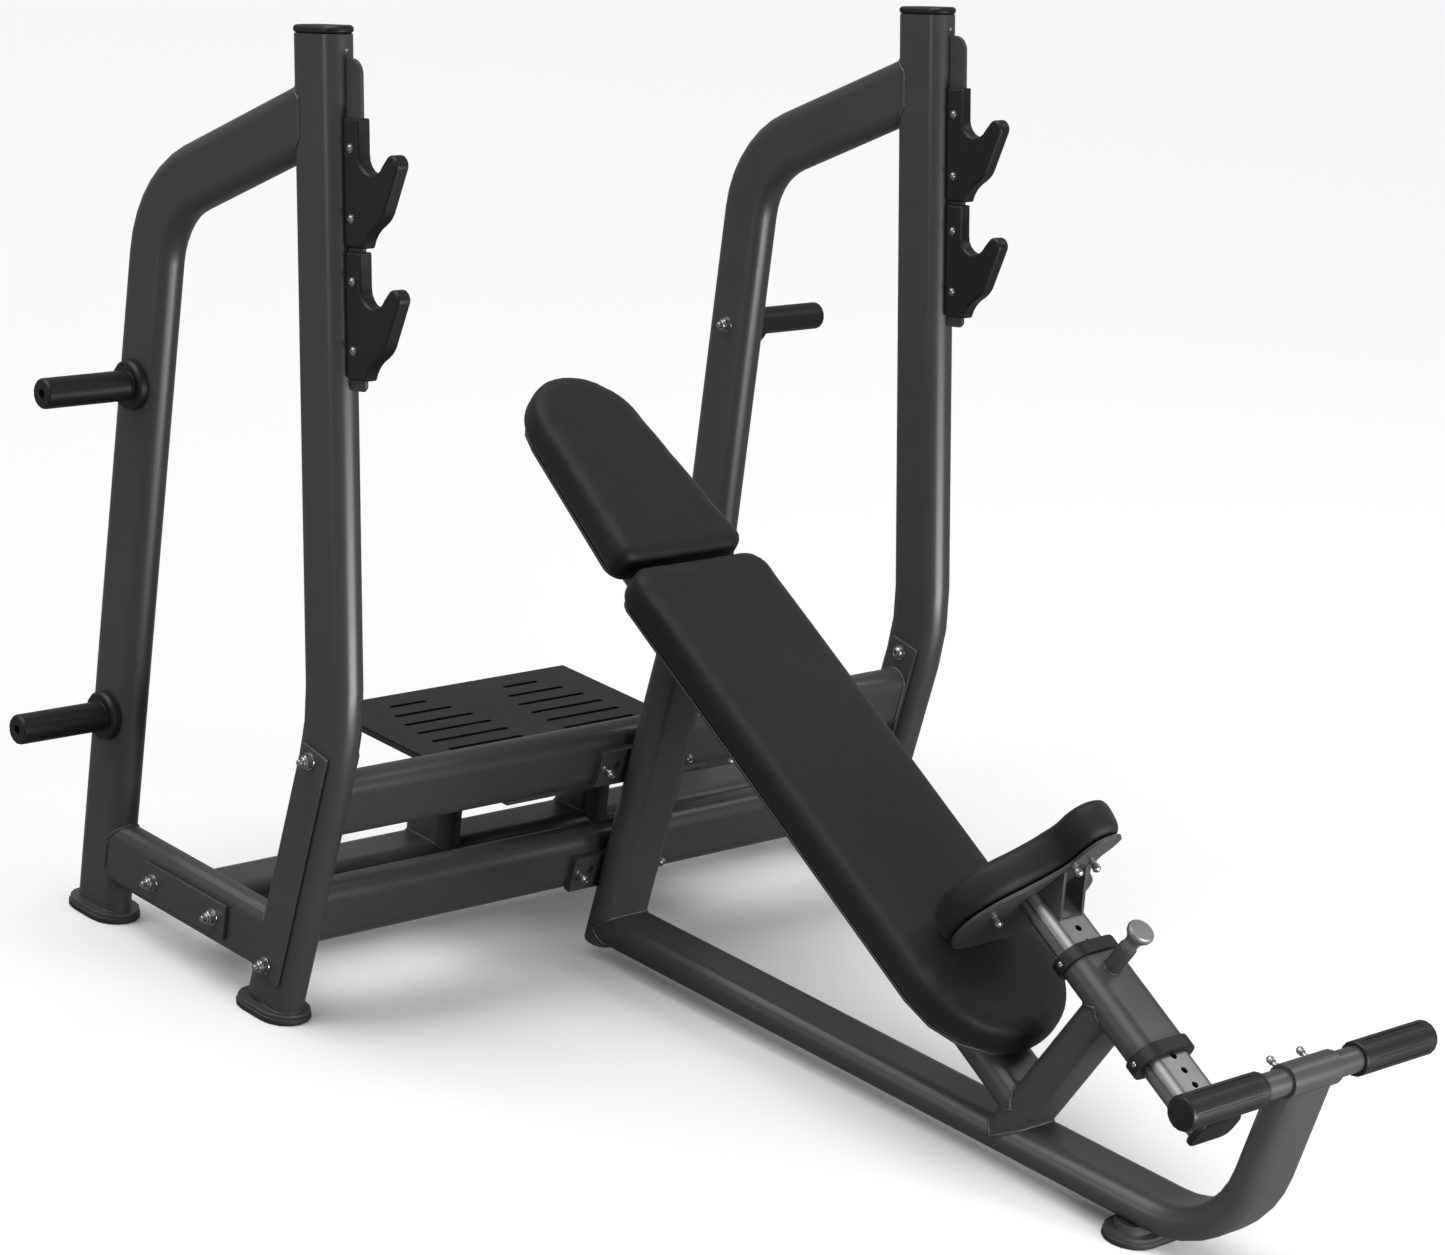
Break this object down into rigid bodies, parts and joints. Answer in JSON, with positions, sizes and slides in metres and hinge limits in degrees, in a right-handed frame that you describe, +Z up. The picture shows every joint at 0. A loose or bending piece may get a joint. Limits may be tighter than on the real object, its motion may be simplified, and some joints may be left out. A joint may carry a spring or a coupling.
{
  "type": "incline olympic bench press",
  "caption": "Incline bench press rack with high and low bar hooks, plate storage horns, a spotter platform and a fixed incline bench with a sliding pin-locked seat.",
  "frame": {"origin": "on the floor, under the centre of the whole object's box", "axes": "+X to the right of a person facing the rack from the footrest end, +Y to the rear, from the footrest to the rack's rear legs, +Z up"},
  "size_m": [1.57, 1.8926, 1.4347],
  "materials": {
    "grey_paint": "semi-gloss textured powder coat",
    "black_plastic": "moulded satin",
    "black_deck": "matt black coat",
    "black_rubber": "moulded",
    "black_vinyl": "fine-grained upholstery vinyl over foam",
    "silver_alloy": "extruded, satin anodised",
    "bar_steel": "satin"
  },
  "bodies": {
    "frame": {"left_upright": "grey_paint", "left_upright_cap": "black_plastic", "left_rear_leg": "grey_paint", "left_side_beam": "grey_paint", "left_front_rubber_foot": "black_rubber", "left_rear_rubber_foot": "black_rubber", "left_hook_plate": "grey_paint", "left_lower_bar_hook": "black_plastic", "left_upper_bar_hook": "black_plastic", "left_lower_plate_horn": "black_plastic", "left_upper_plate_horn": "black_plastic", "left_outer_joint_plate": "grey_paint", "left_inner_joint_plate": "grey_paint", "left_side_joint_plate": "grey_paint", "right_upright": "grey_paint", "right_upright_cap": "black_plastic", "right_rear_leg": "grey_paint", "right_side_beam": "grey_paint", "right_front_rubber_foot": "black_rubber", "right_rear_rubber_foot": "black_rubber", "right_hook_plate": "grey_paint", "right_lower_bar_hook": "black_plastic", "right_upper_bar_hook": "black_plastic", "right_lower_plate_horn": "black_plastic", "right_upper_plate_horn": "black_plastic", "right_outer_joint_plate": "grey_paint", "right_inner_joint_plate": "grey_paint", "right_side_joint_plate": "grey_paint", "upper_cross_beam": "grey_paint", "lower_cross_beam": "grey_paint", "rear_cross_beam": "grey_paint", "left_platform_post": "grey_paint", "right_platform_post": "grey_paint", "platform_rails": "grey_paint", "platform_deck": "black_deck", "bench_rear_post": "grey_paint", "bench_upper_joint_plate": "grey_paint", "bench_lower_joint_plate": "grey_paint", "bench_main_rail": "grey_paint", "bench_back_beam": "grey_paint", "bench_seat_post": "grey_paint", "bench_rubber_foot": "black_rubber", "footrest_sleeve": "grey_paint", "footrest_bar": "grey_paint", "left_footrest_grip": "black_plastic", "right_footrest_grip": "black_plastic", "backrest_board": "grey_paint", "backrest_pad": "black_vinyl", "headrest_board": "grey_paint", "headrest_pad": "black_vinyl", "seat_sleeve": "grey_paint", "upper_sleeve_collar": "black_plastic", "lower_sleeve_collar": "black_plastic", "pin_barrel": "grey_paint"},
    "seat_carriage": {"seat_slide": "silver_alloy", "slide_end_cap": "black_plastic", "seat_bracket": "grey_paint", "seat_board": "grey_paint", "seat_pad": "black_vinyl"},
    "pull_pin": {"pull_pin": "bar_steel"}
  },
  "joints": [
    {"name": "seat_slide_travel", "type": "slide", "parent": "frame", "child": "seat_carriage", "axis": [0, 0.866, 0.5], "range_m": [-0.04, 0.1]},
    {"name": "pull_pin_travel", "type": "slide", "parent": "frame", "child": "pull_pin", "axis": [0, -0.5, 0.866], "range_m": [0, 0.012], "stiffness_N_per_m": 600, "springref_m": -0.015}
  ]
}
